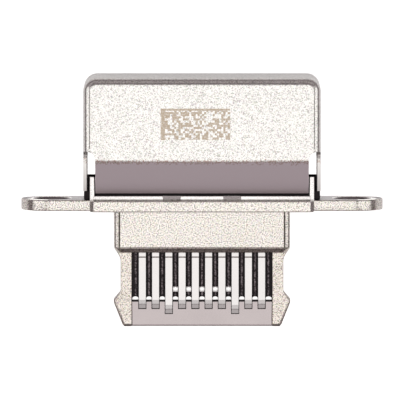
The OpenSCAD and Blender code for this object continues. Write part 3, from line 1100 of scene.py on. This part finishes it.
    def area(self, place: Vector) -> FrameArea:
        """Finds the area that a facet belongs to.

        Args:
            place: The facet's middle.

        Returns:
            The area.
        """
        if math.hypot(abs(place.x) - self.hole_pitch / 2, place.z) < self.hole_r + self.hole_edge / 2:
            return FrameArea.BORE
        if place.y > self.flange_t + self.groove_w:
            return FrameArea.BACK
        return FrameArea.ARM if place.y < self.tongue.collar_end_y else FrameArea.OUTSIDE

    def build(self) -> None:
        """Builds the piece and dresses its areas, with painted shade in the bores and on the arms and painted
        light on the faces behind the flange.
        """
        tongue = self.tongue
        window_y = (tongue.nose_end_y - CUT_PAST, tongue.boss_y + CUT_PAST)
        window = Solid.slab(0, tongue.gap, window_y, (-tongue.top, tongue.top))
        posts, arms, holes = (solid.both(Axis.X) for solid in (self.post(), self.arm(), self.hole()))
        body = self.flange().joined(self.boss(), self.collar(), posts, arms).cut(window, holes)
        piece = make_piece("flange_frame", body, BLASTED, ["frame"], CHAMFER_ANGLE)
        # painted shade for the bores and the arms, painted light for the faces behind the flange
        for finish in (BORE, BACK_PAINTED_LIGHT, ARM):
            piece.data.materials.append(finish.material())
        for polygon in piece.data.polygons:
            polygon.material_index = self.area(polygon.center / MM).value


@dataclass(frozen=True)
class ContactRows:
    """The two rows of contacts."""

    tongue: Tongue
    count: int = 10
    pitch: float = 0.5
    thickness: float = 0.12
    rise_l: float = 0.19
    signal_end: float = 0.68
    power_end: float = 0.49
    power_places: tuple[int, int] = (3, 8)  # counted from 1, as everywhere
    dip_l: float = 0.17
    slope_l: float = 0.16
    slope_drop: float = 0.02
    step_l: float = 0.012
    step_drop: float = 0.02
    end_drop: float = 0.07
    rise_step_l: float = 0.03
    rise_step: float = 0.028
    upper_tail_y: float = 4.3
    lower_tail_y: float = 3.08
    foot_z: float = -1.63
    foot_l: float = 0.45
    edge: float = 0.01
    rounding: int = 2

    def x(self, place: int) -> float:
        """Gives the middle of the contact at a place from the left, counted from 1."""
        return (place - (self.count + 1) / 2) * self.pitch

    def end_y(self, place: int) -> float:
        """Gives the front end of the contact at a place from the left, counted from 1."""
        end = self.power_end if place in self.power_places else self.signal_end
        return self.tongue.tip_y + end

    def outline(self, end_y: float, upper: bool) -> Outline:
        """Draws a contact from the side.

        Args:
            end_y: Where its front end lies.
            upper: Whether it belongs to the upper row.

        Returns:
            The outline.
        """
        tongue, up = self.tongue, 1 if upper else -1
        tail_y = self.upper_tail_y if upper else self.lower_tail_y
        top, sunk, t = up * tongue.top, up * tongue.drop, up * self.thickness
        heel, toe, foot = tail_y + self.thickness, tail_y + self.foot_l, self.foot_z
        inner = top - sunk - t if upper else top - sunk
        crease_y = end_y + self.dip_l
        rise_y = tongue.nose_end_y - self.rise_l
        face = [
            (end_y, top - up * self.end_drop),
            (crease_y - self.step_l, top - up * (self.slope_drop + self.step_drop)),
            (crease_y, top - up * self.slope_drop),
            (crease_y + self.slope_l, top),
            (rise_y, top),
            (rise_y + self.rise_step_l, top - up * self.rise_step),
            (tongue.nose_end_y, top - sunk),
        ]
        back = [(y, z - t) for y, z in reversed(face)]
        tail = [(tail_y, inner), (tail_y, foot), (toe, foot), (toe, foot + self.thickness)]
        if upper:
            tail = [(heel, top - sunk), (heel, foot + self.thickness), *reversed(tail)]
        else:
            tail += [(heel, foot + self.thickness), (heel, top - sunk - t)]
        return face + tail + back

    def build(self) -> None:
        """Builds the twenty pieces."""
        for upper, letter in ((True, "a"), (False, "b")):
            for place in range(1, self.count + 1):
                x, half = self.x(place), self.tongue.contact_w / 2
                outline = self.outline(self.end_y(place), upper)
                strip = Solid.prism(outline, Axis.X, x - half, x + half).softened(self.edge, self.rounding)
                pin = f"{letter}{place + 1}"
                make_piece(f"strip_{pin}", strip, PLATED, [f"contact_{pin}"], FACET_ANGLE)


@dataclass(frozen=True)
class GroundPlate:
    """The ground plate: a web between the rows, a thick bar across the tip, pads and legs."""

    tongue: Tongue
    rows: ContactRows
    width: float = 5.29
    nose_l: float = 0.05
    nose_z: float = 0.245
    tip_z: float = 0.19
    groove_w: float = 0.07
    pad_w: float = 0.19
    pad_l: float = 0.2
    pad_y: float = -3.005
    back_w: float = 8.08
    back_y: float = 4.0
    leg_y: float = 2.95
    leg_l: float = 0.6
    edge: float = 0.02
    rounding: int = 3
    pad_first: int = 3  # the contact that the first pad comes after; the last pad mirrors it
    pad_edge: float = 0.01
    pad_rounding: int = 2
    bump_clearance: float = 0.01
    bump_rise: float = 0.03
    bump_side: float = 0.45  # the straight part of a bump's sides, as a share of its length
    bump_steps: int = 10

    def bar(self) -> Solid:
        """Builds the bar across the tip, with its pockets and grooves.

        Returns:
            The solid.
        """
        tongue, rows = self.tongue, self.rows
        upper = [
            (tongue.tip_y, self.tip_z), (tongue.tip_y + self.nose_l, self.nose_z),
            (tongue.band_y, tongue.top), (tongue.bar_y, tongue.top - tongue.drop),
        ]
        outline = upper + [(y, -z) for y, z in reversed(upper)]
        bar = Solid.prism(outline, Axis.X, -self.width / 2, self.width / 2).softened(self.edge, self.rounding)
        wide = tongue.contact_w + 2 * tongue.finger_wall
        z = (tongue.plate_t / 2, tongue.thickness)
        groove_y = (tongue.band_y, tongue.bar_y + CUT_PAST)
        pockets = [
            Solid.slab(rows.x(n), wide, (rows.end_y(n) - tongue.finger_wall, tongue.bar_y + CUT_PAST), z)
            for n in range(1, rows.count + 1)
        ]
        step = Solid.slab(0, self.width + CUT_PAST, groove_y, (tongue.top - tongue.dip, tongue.thickness))
        return bar.cut(Solid.gathered(pockets).both(Axis.Z), step.both(Axis.Z))

    def bumps(self) -> list[Solid]:
        """Builds the rounded bumps between the contacts, behind the groove.

        Returns:
            The solids, at both faces.
        """
        tongue, rows = self.tongue, self.rows
        edges = [-tongue.gap / 2 + self.bump_clearance]
        for n in range(1, rows.count + 1):
            edges += [rows.x(n) - tongue.contact_w / 2, rows.x(n) + tongue.contact_w / 2]
        edges.append(tongue.gap / 2 - self.bump_clearance)
        y0 = tongue.band_y + self.groove_w
        made = []
        for left, right in zip(edges[::2], edges[1::2]):
            half = (right - left) / 2 - self.bump_clearance
            middle = (left + right) / 2
            high, side = tongue.bar_y - y0, self.bump_side
            outline = [(middle - half, y0), (middle + half, y0)]
            outline += [
                (middle + half * math.cos(a), y0 + high * (side + (1 - side) * math.sin(a)))
                for a in (math.pi * i / self.bump_steps for i in range(self.bump_steps + 1))
            ]
            z0, z1 = tongue.top - tongue.dip, tongue.top - tongue.drop + self.bump_rise
            bump = Solid.prism(outline, Axis.Z, z0, z1)
            made.append(bump.softened(self.pad_edge, self.rounding).both(Axis.Z))
        return made

    def pads(self) -> list[Solid]:
        """Builds the small square pads between the middle contacts.

        Returns:
            The solids.
        """
        high = self.tongue.top - self.tongue.drop + self.bump_rise
        y = (self.pad_y - self.pad_l / 2, self.pad_y + self.pad_l / 2)
        after = range(self.pad_first, self.rows.count + 1 - self.pad_first)
        pads = [Solid.slab(self.rows.x(n) + self.rows.pitch / 2, self.pad_w, y, (-high, high)) for n in after]
        return [pad.softened(self.pad_edge, self.pad_rounding) for pad in pads]

    def build(self) -> None:
        """Builds the plate's two pieces."""
        tongue, half = self.tongue, self.tongue.plate_t / 2
        web = Solid.slab(0, self.width, (tongue.bar_y - self.edge, tongue.boss_y), (-half, half))
        back = Solid.slab(0, self.back_w, (tongue.boss_y, self.back_y), (-half, half))
        leg_y, leg_z = (self.leg_y, self.leg_y + self.leg_l), (self.rows.foot_z, half)
        leg = Solid.slab(self.back_w / 2 - half, tongue.plate_t, leg_y, leg_z)
        body = self.bar().joined(web, back, leg.both(Axis.X))
        raised = Solid.gathered([*self.bumps(), *self.pads()])
        make_piece("ground_plate_body", body, SATIN, ["ground_plate"], FACET_ANGLE)
        # painted highlight: the pads and bumps take a near-white copy of the plate's metal
        make_piece("ground_plate_pads", raised, BRIGHT, ["ground_plate"])


@dataclass(frozen=True)
class Mouldings:
    """The two black mouldings that carry the contacts."""

    tongue: Tongue
    rows: ContactRows
    upper_h: float = 0.88
    lower_h: float = 1.2
    upper_y: float = 4.0
    lower_y: float = 2.8
    block_w: float = 8.08
    shield_w: float = 8.62
    can_w: float = 8.88
    flange_t: float = 0.42
    mouth_y: float = 0.735
    shoulder_y: float = 1.365
    boss_w: float = 8.18
    post_x: float = 4.135
    post_w: float = 0.19
    post_y: float = 1.32
    post_h: float = 2.34
    edge: float = 0.03
    rounding: int = 2
    finger_drop: float = 0.02
    rib_w: float = 0.11
    rib_h: float = 0.05
    bed_drop: float = 0.03
    rib_steps: int = 6

    def tongue_half(self) -> Solid:
        """Builds the part on the tongue's upper face: the bed, the fingers and the ribs.

        Returns:
            The solid.
        """
        tongue, rows = self.tongue, self.rows
        low, bed = tongue.plate_t / 2, tongue.top - tongue.drop - self.bed_drop
        parts = [
            Solid.slab(0, tongue.gap, (tongue.bar_y, tongue.nose_end_y), (low, bed)),
            Solid.slab(0, tongue.gap, (tongue.nose_end_y, tongue.boss_y), (low, tongue.top)),
            Solid.slab(0, tongue.gap, (tongue.band_y, tongue.bar_y), (low, bed)),
        ]
        wide = tongue.contact_w + 2 * tongue.finger_wall
        finger_z = tongue.top - tongue.dip - self.finger_drop
        parts += [
            Solid.slab(rows.x(n), wide, (rows.end_y(n) - tongue.finger_wall, tongue.bar_y), (low, finger_z))
            for n in range(1, rows.count + 1)
        ]
        for n in range(rows.count + 1):
            middle = rows.x(n) + rows.pitch / 2
            section = [
                (middle + self.rib_w / 2 * math.cos(a), bed + self.rib_h * math.sin(a))
                for a in (math.pi * i / self.rib_steps for i in range(self.rib_steps + 1))
            ]
            section += [(middle + side * self.rib_w / 2, bed - self.edge) for side in (-1, 1)]
            parts.append(Solid.prism(section, Axis.Y, tongue.bar_y + self.edge, tongue.nose_end_y))
        return Solid.gathered(parts)

    def shoulders(self, low: float, high: float) -> Solid:
        """Builds the shoulders that fill the can's mouth round the posts.

        Args:
            low: Their lower end.
            high: Their upper end.

        Returns:
            The solid.
        """
        body = Solid.slab(0, self.shield_w, (self.flange_t, self.shoulder_y), (low, high))
        lip = Solid.slab(0, self.can_w, (self.flange_t, self.mouth_y), (low, high))
        past = (self.flange_t - CUT_PAST, self.tongue.boss_y)
        boss = Solid.slab(0, self.boss_w, past, (low - CUT_PAST, high + CUT_PAST))
        half = self.post_h / 2
        post = Solid.slab(self.post_x, self.post_w, (self.flange_t - CUT_PAST, self.post_y), (-half, half))
        return body.joined(lip).cut(boss, post.both(Axis.X))

    def build(self) -> None:
        """Builds the two pieces."""
        half, boss_y = self.tongue.plate_t / 2, self.tongue.boss_y
        top, bottom = half + self.upper_h, -half - self.lower_h
        upper_block = Solid.slab(0, self.block_w, (boss_y, self.upper_y), (half, top))
        lower_block = Solid.slab(0, self.block_w, (boss_y, self.lower_y), (bottom, -half))
        over = Matrix.Scale(-1, 4, (0, 0, 1))
        upper_tongue = self.tongue_half()
        lower_tongue = upper_tongue.copied(over)
        upper_body = upper_block.joined(self.shoulders(half, top)).softened(self.edge, self.rounding)
        lower_body = lower_block.joined(self.shoulders(bottom, -half)).softened(self.edge, self.rounding)
        upper = Solid.gathered([upper_body, upper_tongue])
        lower = Solid.gathered([lower_body, lower_tongue])
        make_piece("upper_carrier", upper, BLACK, ["upper_moulding"])
        make_piece("lower_carrier", lower, BLACK, ["lower_moulding"])


@dataclass(frozen=True)
class RearCan:
    """The drawn can behind the flange, with its bent front flap and its corner notches."""

    width: float = 8.92
    front_y: float = 0.755
    back_y: float = 5.03
    base_z: float = -1.75
    face_z: float = 1.5
    sheet: float = 0.13
    edge_r: float = 0.3
    corner_r: float = 0.5
    flap_w: float = 8.02
    bend_y: float = 1.9
    bend_r: float = 0.35
    flap_y: float = 0.665
    flap_drop: float = 0.35
    notch_past: float = 0.35
    notch_r: float = 0.28
    notch_floor_z: float = 1.07
    rim: float = 0.03
    rim_steps: int = 2
    crease_x: float = 4.22
    crease_w: float = 0.05
    crease_d: float = 0.03
    tiny: float = 0.004  # points of the notches' rims that are closer than this are merged
    rounding: int = 10
    bend_steps: int = 8

    def body(self, inset: float) -> Solid:
        """Builds the rounded box of the can's outside, or of its inside.

        Args:
            inset: How far inside the outside it lies.

        Returns:
            The solid.
        """
        past = CUT_PAST if inset else 0
        low = (-self.width / 2 + inset, self.front_y - past, self.base_z - past)
        high = (self.width / 2 - inset, self.back_y - inset, self.face_z - inset)
        box = Solid.box(low, high)
        box.softened(
            self.corner_r - inset, self.rounding,
            lambda edge: in_plane(edge, Axis.Y, high[1]) and in_plane(edge, Axis.X, edge.verts[0].co.x),
        )
        rim = [
            edge for edge in box.mesh.edges
            if in_plane(edge, Axis.Z, high[2]) and not in_plane(edge, Axis.Y, low[1])
        ]
        bmesh.ops.bevel(
            box.mesh, geom=rim, offset=self.edge_r - inset, offset_type="OFFSET", segments=self.rounding,
            profile=0.5, affect="EDGES", clamp_overlap=False, material=-1,
        )
        return box

    def notch(self, axis: Axis) -> Outline:
        """Draws the right-hand corner notch from above or from the side.

        Args:
            axis: Z for its outline from above, X for the one from the side.

        Returns:
            The outline.
        """
        y0, y1, r = self.front_y - CUT_PAST, self.bend_y + self.notch_past, self.notch_r
        if axis is Axis.Z:
            x0, x1 = self.flap_w / 2, self.width / 2 + CUT_PAST
            corner = arc((x0 + r, y1 - r), r, QUARTER, 2 * QUARTER, self.rounding)
            return [(x0, y0), (x1, y0), (x1, y1), *corner]
        z0, z1 = self.notch_floor_z, self.face_z + CUT_PAST
        return [(y0, z1), (y0, z0), *arc((y1 - r, z0 + r), r, -QUARTER, 0, self.rounding), (y1, z1)]

    def front_cut(self) -> list[Solid]:
        """Builds what is cut away in front of the flap's bend and at its sides.

        Returns:
            The solids.
        """
        z = (self.notch_floor_z, self.face_z + CUT_PAST)
        middle = Solid.slab(0, self.flap_w, (self.front_y - CUT_PAST, self.seam_y), z)
        above = Solid.prism(self.notch(Axis.Z), Axis.Z, *z)
        # A corner's cutter is its notch from above within its notch from the side. The three solids end a
        # little apart, so that no two of their faces coincide.
        inner, past_above, past_beside = self.flap_w / 2 - CUT_PAST, CUT_PAST, 2 * CUT_PAST
        beside = Solid.prism(self.notch(Axis.X), Axis.X, inner, self.width / 2 + past_beside)
        past_x = self.width / 2 + (past_above + past_beside) / 2
        outside = Solid.box(
            (inner - CUT_PAST, self.front_y - 2 * CUT_PAST, z[0] - CUT_PAST),
            (past_x, self.bend_y + self.notch_past + CUT_PAST, z[1] + CUT_PAST),
        )
        corner = above.cut(outside.cut(beside))
        return [middle, corner.both(Axis.X)]

    @property
    def slope(self) -> float:
        """The angle of the flap's slope."""
        return math.atan2(self.flap_drop, self.bend_y - self.flap_y)

    @property
    def seam_y(self) -> float:
        """Where the flap's bend begins."""
        return self.bend_y + self.bend_r * math.tan(self.slope / 2)

    def off_seam(self, edge: bmesh.types.BMEdge) -> bool:
        """Says whether an edge lies clear of the seam between the can and its flap."""
        return not in_plane(edge, Axis.Y, self.seam_y)

    def flap(self) -> Solid:
        """Builds the flap, bent down from the broad face.

        Returns:
            The solid.
        """
        centre = (self.seam_y, self.face_z - self.bend_r)
        turn = QUARTER + math.degrees(self.slope)
        outer = arc(centre, self.bend_r, QUARTER, turn, self.bend_steps)
        inner = arc(centre, self.bend_r - self.sheet, turn, QUARTER, self.bend_steps)
        reach = (outer[-1][0] - self.flap_y) / math.cos(self.slope)
        down = Vector((-math.cos(self.slope), -math.sin(self.slope))) * reach
        tips = [tuple(Vector(root) + down) for root in (outer[-1], inner[0])]
        flap = Solid.prism([*outer, *tips, *inner], Axis.X, -self.flap_w / 2, self.flap_w / 2)
        return flap.softened(self.rim, self.rim_steps, self.off_seam)

    def build(self) -> None:
        """Builds the piece."""
        shell = self.body(0).cut(self.body(self.sheet), *self.front_cut()).merged(self.tiny)
        shell.softened(self.rim, self.rim_steps, self.off_seam)
        past_notch = self.bend_y + self.notch_past + 2 * self.rim
        ends = (past_notch + 2 * self.rim, self.back_y - self.edge_r)
        crease = Solid.crease(self.crease_x, self.face_z, self.crease_w, self.crease_d, ends)
        shell = shell.cut(crease.both(Axis.X)).divided(Axis.Y, past_notch, past_notch + self.rim)
        make_piece("drawn_can", Solid.gathered([shell, self.flap()]), CAN, ["rear_can"])


@dataclass(frozen=True)
class InnerShield:
    """The bent sheet under the can."""

    width: float = 8.655
    sheet: float = 0.12
    front_y: float = 1.385
    back_y: float = 4.6
    top_z: float = 1.075
    foot_z: float = -1.63
    wall_inset: float = 0.25
    bend_r: float = 0.04
    bend_steps: int = 6
    edge: float = 0.02
    rounding: int = 2

    def build(self) -> None:
        """Builds the piece."""
        x, r, t = self.width / 2, self.bend_r, self.sheet
        outer = [(x, self.foot_z)] + arc((x - r, self.top_z - r), r, 0, QUARTER, self.bend_steps)
        inner = [(x - t, self.foot_z), (x - t, self.top_z - t)]
        outline = mirrored(outer) + [(-u, v) for u, v in inner] + list(reversed(inner))
        sheet = Solid.prism(outline, Axis.Y, self.front_y, self.back_y)
        under = (self.foot_z - CUT_PAST, self.top_z - r)
        front = (self.front_y - CUT_PAST, self.front_y + self.wall_inset)
        back = (self.back_y - self.wall_inset, self.back_y + CUT_PAST)
        ends = [Solid.slab(0, self.width + CUT_PAST, y, under) for y in (front, back)]
        body = sheet.cut(*ends).softened(self.edge, self.rounding)
        make_piece("bent_shield", body, BRIGHT, ["inner_shield"])


@dataclass(frozen=True)
class Studio:
    """The floor, the light and the camera.

    A stop of the dome is an angle from straight up, in degrees, and the light's share of its peak there.
    """

    target: tuple[float, float, float] = (-0.075, 0.34, 0.0)
    lean: float = 4.2
    distance: float = 300.0
    view_width: float = 15.09
    sensor: float = 36.0
    clip: tuple[float, float] = (0.01, 10.0)  # as shares of the distance
    floor_z: float = -1.752
    floor_r: float = 14.0
    floor_sides: int = 128
    floor_color: Color = (0.8, 0.8, 0.8)
    floor_glow: float = 0.85
    floor_mirrored: float = 0.24  # how bright the metal mirrors the floor
    near_painted_reflection: float = 1.0  # the same for the strip of floor behind the flange, a painted reflection that brightens the faces behind the flange
    near_place: tuple[float, float] = (0.0, 0.95)
    near_reach: tuple[float, float] = (6.6, 0.5)
    white: Color = (1.0, 1.0, 1.0)
    peak: float = 1.3
    towards_tip: tuple[tuple[float, float], ...] = (
        (0, 1.0), (10, 1.0), (14, 0.8), (20, 0.6), (28, 0.36), (37, 0.27), (45, 0.3), (52, 0.5), (68, 0.5),
        (78, 0.1), (180, 0.1),
    )
    towards_back: tuple[tuple[float, float], ...] = (
        (0, 1.0), (10, 1.0), (14, 0.6), (19, 0.22), (26, 0.16), (42, 0.17), (50, 0.32), (64, 0.32),
        (72, 0.19), (90, 0.19), (104, 0.3), (180, 0.35),
    )
    sideways: tuple[tuple[float, float], ...] = (
        (0, 1.0), (10, 1.0), (13, 0.75), (18, 0.75), (24, 0.92), (69, 0.92), (76, 0.14), (94, 0.14),
        (99, 0.4), (180, 0.4),
    )
    bright_tint: Color = (1.0, 0.985, 0.965)
    dark_tint: Color = (1.0, 0.83, 0.86)
    tint_level: float = 0.7
    turn_width: float = 0.2
    side_start: float = 0.66
    side_end: float = 0.8

    def tinted(self, level: float) -> Color:
        """Gives the dome's colour at a share of its peak: warm where it is bright, mauve where it is dark."""
        share = min(level / self.tint_level, 1)
        return tuple(level * (d + (b - d) * share) for d, b in zip(self.dark_tint, self.bright_tint))

    def light(self) -> None:
        """Lights the scene with a soft dome that varies with direction."""
        world = bpy.data.worlds.new("dome")
        bpy.context.scene.world = world
        world.use_nodes = True
        graph = Graph(world.node_tree)
        direction = graph.node("ShaderNodeTexCoord").outputs["Generated"]
        x, y, z = graph.node("ShaderNodeSeparateXYZ", {0: direction}).outputs
        polar = graph.math("DIVIDE", graph.math("ARCCOSINE", z), math.pi)
        across = graph.math("ABSOLUTE", x)
        whole = graph.math("ADD", graph.math("ADD", across, graph.math("ABSOLUTE", y)), NOT_ZERO)
        share_x, share_y = (graph.math("DIVIDE", part, whole) for part in (across, y))
        side = graph.spread(share_x, self.side_start, self.side_end, interpolation="SMOOTHSTEP")
        back = graph.spread(share_y, -self.turn_width, self.turn_width, interpolation="SMOOTHSTEP")
        tip_ramp, back_ramp, side_ramp = (
            graph.ramp(polar, [(angle / (2 * QUARTER), self.tinted(level)) for angle, level in stops])
            for stops in (self.towards_tip, self.towards_back, self.sideways)
        )
        lengthwise = graph.blend(back, tip_ramp, back_ramp)
        dome = graph.node("ShaderNodeBackground", {
            "Color": graph.blend(side, lengthwise, side_ramp), "Strength": self.peak,
        })
        plain = graph.node("ShaderNodeBackground", {"Color": (*self.white, 1.0), "Strength": 1.0})
        seen = graph.node("ShaderNodeLightPath").outputs["Is Camera Ray"]
        mixed = graph.node("ShaderNodeMixShader", {0: seen, 1: dome.outputs[0], 2: plain.outputs[0]})
        graph.node("ShaderNodeOutputWorld", {"Surface": mixed.outputs[0]})

    def floor(self) -> None:
        """Lays the pale floor that keeps the socket's shadow and glows in the metal's mirrors, brightest on a
        strip just behind the flange as a painted reflection for the faces behind it.
        """
        mesh = bmesh.new()
        bmesh.ops.create_circle(mesh, cap_ends=True, segments=self.floor_sides, radius=self.floor_r * MM)
        bmesh.ops.translate(mesh, verts=mesh.verts[:], vec=(0, 0, self.floor_z * MM))
        data = bpy.data.meshes.new("floor")
        mesh.to_mesh(data)
        mesh.free()
        material = bpy.data.materials.new("pale_floor")
        material.use_nodes = True
        graph = Graph(material.node_tree)
        matt = graph.node("ShaderNodeBsdfDiffuse", {"Color": (*self.floor_color, 1.0)})
        rays = graph.node("ShaderNodeLightPath").outputs
        split = graph.node("ShaderNodeSeparateXYZ", {0: graph.place()}).outputs
        # painted reflection: the strip behind the flange glows brighter, in mirrors only
        inside = [graph.math("COMPARE", *values) for values in zip(split, self.near_place, self.near_reach)]
        near = graph.math("MULTIPLY", *inside)
        added = graph.math("MULTIPLY", near, self.near_painted_reflection - self.floor_mirrored)
        level = graph.math("ADD", added, self.floor_mirrored)
        mirrored_glow = graph.math("MULTIPLY", rays["Is Glossy Ray"], level)
        glow = graph.node("ShaderNodeEmission", {
            "Color": (*self.white, 1.0),
            "Strength": graph.math("MULTIPLY_ADD", rays["Is Camera Ray"], self.floor_glow, mirrored_glow),
        })
        both = graph.node("ShaderNodeAddShader", {0: matt.outputs[0], 1: glow.outputs[0]})
        graph.node("ShaderNodeOutputMaterial", {"Surface": both.outputs[0]})
        data.materials.append(material)
        linked("floor", data)

    def camera(self) -> None:
        """Sets up the long lens above the broad face."""
        data = bpy.data.cameras.new("camera")
        data.sensor_width = self.sensor
        data.lens = self.sensor * self.distance / self.view_width
        data.clip_start, data.clip_end = (share * self.distance * MM for share in self.clip)
        camera = linked("camera", data)
        lean = math.radians(self.lean)
        back = Vector((0, math.sin(lean), math.cos(lean)))
        camera.location = (Vector(self.target) + back * self.distance) * MM
        camera.rotation_euler = (-lean, 0, 0)
        bpy.context.scene.camera = camera

    def build(self) -> None:
        """Sets the studio up."""
        self.light()
        self.floor()
        self.camera()
        bpy.context.scene.view_settings.view_transform = "Standard"


def main() -> None:
    """Builds the pieces and the studio."""
    logging.basicConfig(level=logging.INFO, format="%(name)s: %(message)s")
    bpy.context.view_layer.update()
    tongue = Tongue()
    rows = ContactRows(tongue)
    FlangeFrame(tongue).build()
    GroundPlate(tongue, rows).build()
    Mouldings(tongue, rows).build()
    rows.build()
    InnerShield().build()
    RearCan().build()
    Studio().build()


if __name__ == "__main__":
    main()
